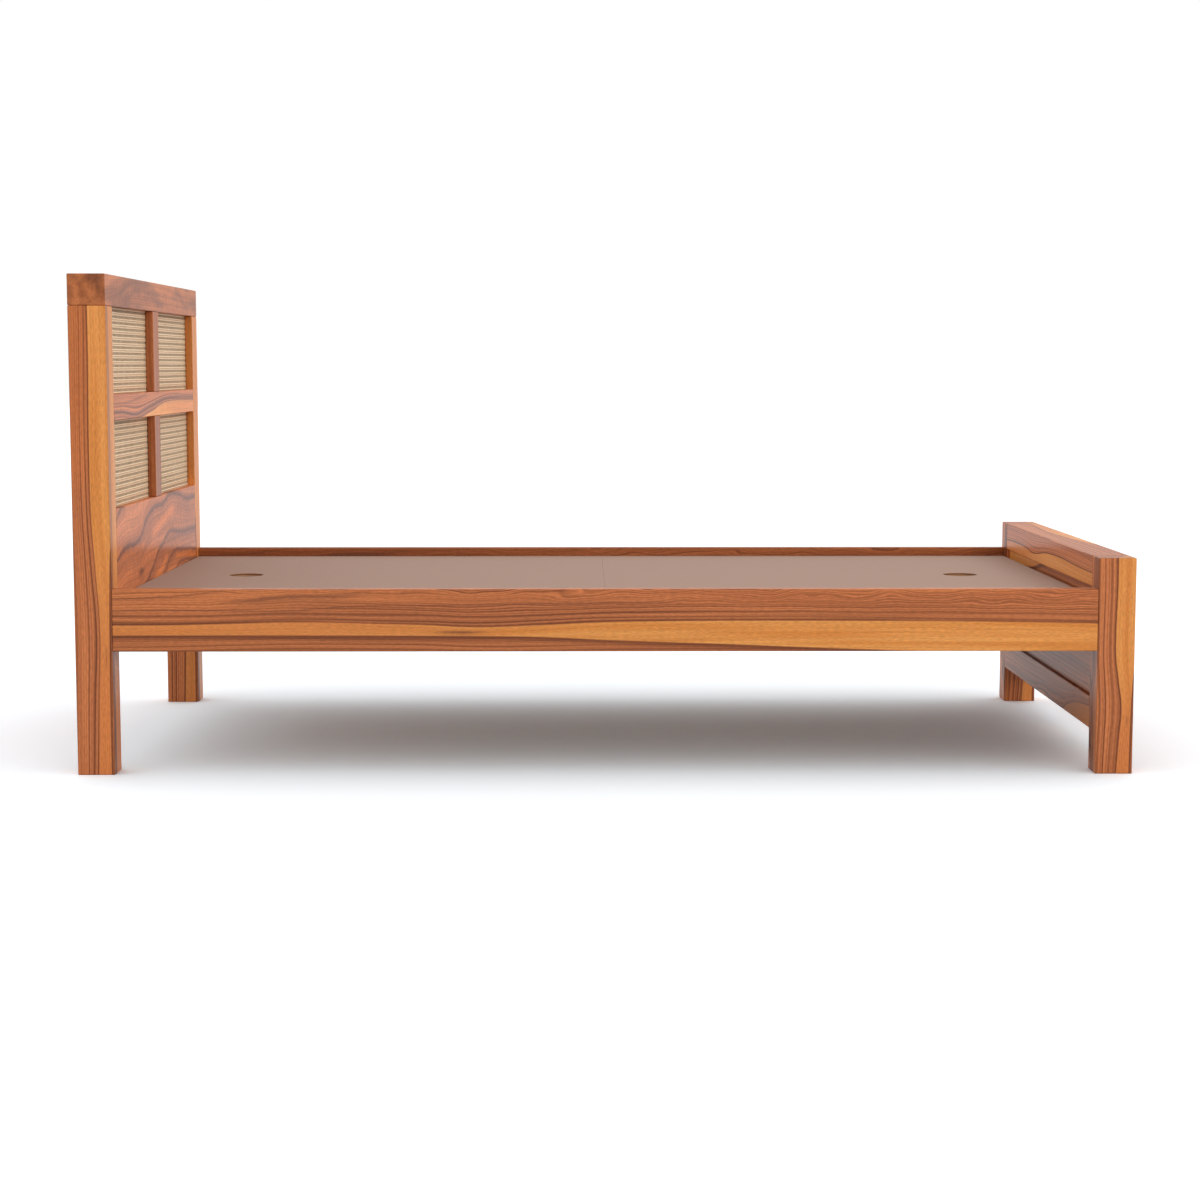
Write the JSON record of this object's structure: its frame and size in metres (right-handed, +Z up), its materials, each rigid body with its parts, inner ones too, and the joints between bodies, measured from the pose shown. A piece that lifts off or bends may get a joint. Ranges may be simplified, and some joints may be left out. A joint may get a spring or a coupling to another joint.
{
  "type": "cane single bed",
  "caption": "Low single bed with a cane-panelled headboard, framed footboard, bolted side rails and a flat deck on bearers whose boards lift out by finger holes.",
  "frame": {"origin": "on the floor, under the middle of the bed's bounding box", "axes": "+X from head to foot along the bed, +Y to the sleeper's left, +Z up"},
  "size_m": [2.134, 1.071, 1.005],
  "materials": {
    "rosewood": "satin lacquer, striped red-brown and orange grain",
    "rosewood_figured": "satin lacquer, swirling dark-veined grain",
    "cane": "natural woven cane",
    "deck_laminate": "matt taupe laminate",
    "plain_wood": "planed, unfinished",
    "zinc_steel": "zinc plated"
  },
  "bodies": {
    "bed_frame": {"barrel_nut_foot_left_lower": "zinc_steel", "barrel_nut_foot_left_upper": "zinc_steel", "barrel_nut_foot_right_lower": "zinc_steel", "barrel_nut_foot_right_upper": "zinc_steel", "barrel_nut_head_left_lower": "zinc_steel", "barrel_nut_head_left_upper": "zinc_steel", "barrel_nut_head_right_lower": "zinc_steel", "barrel_nut_head_right_upper": "zinc_steel", "bed_bolt_foot_left_lower": "zinc_steel", "bed_bolt_foot_left_upper": "zinc_steel", "bed_bolt_foot_right_lower": "zinc_steel", "bed_bolt_foot_right_upper": "zinc_steel", "bed_bolt_head_left_lower": "zinc_steel", "bed_bolt_head_left_upper": "zinc_steel", "bed_bolt_head_right_lower": "zinc_steel", "bed_bolt_head_right_upper": "zinc_steel", "cane_backing_lower_left": "plain_wood", "cane_backing_lower_right": "plain_wood", "cane_backing_upper_left": "plain_wood", "cane_backing_upper_right": "plain_wood", "cane_frame_lower_left": "rosewood", "cane_frame_lower_right": "rosewood", "cane_frame_upper_left": "rosewood", "cane_frame_upper_right": "rosewood", "cane_panel_lower_left": "cane", "cane_panel_lower_right": "cane", "cane_panel_upper_left": "cane", "cane_panel_upper_right": "cane", "cross_bearer_1": "plain_wood", "cross_bearer_2": "plain_wood", "cross_bearer_3": "plain_wood", "cross_bearer_4": "plain_wood", "cross_bearer_5": "plain_wood", "foot_cleat": "plain_wood", "footboard_bottom_rail": "rosewood_figured", "footboard_panel": "rosewood_figured", "footboard_post_left": "rosewood", "footboard_post_right": "rosewood", "footboard_top_rail": "rosewood_figured", "head_cleat": "plain_wood", "headboard_mid_rail": "rosewood_figured", "headboard_mullion_lower": "rosewood", "headboard_mullion_upper": "rosewood", "headboard_panel": "rosewood_figured", "headboard_post_left": "rosewood", "headboard_post_right": "rosewood", "headboard_top_rail": "rosewood_figured", "ledger_left": "plain_wood", "ledger_right": "plain_wood", "side_rail_left": "rosewood", "side_rail_right": "rosewood"},
    "deck_board_head": {"deck_board_head": "deck_laminate"},
    "deck_board_foot": {"deck_board_foot": "deck_laminate"}
  },
  "joints": [
    {"name": "deck_board_head_lift", "type": "slide", "parent": "bed_frame", "child": "deck_board_head", "axis": [0, 0, 1], "range_m": [0, 0.15]},
    {"name": "deck_board_foot_lift", "type": "slide", "parent": "bed_frame", "child": "deck_board_foot", "axis": [0, 0, 1], "range_m": [0, 0.15]}
  ]
}
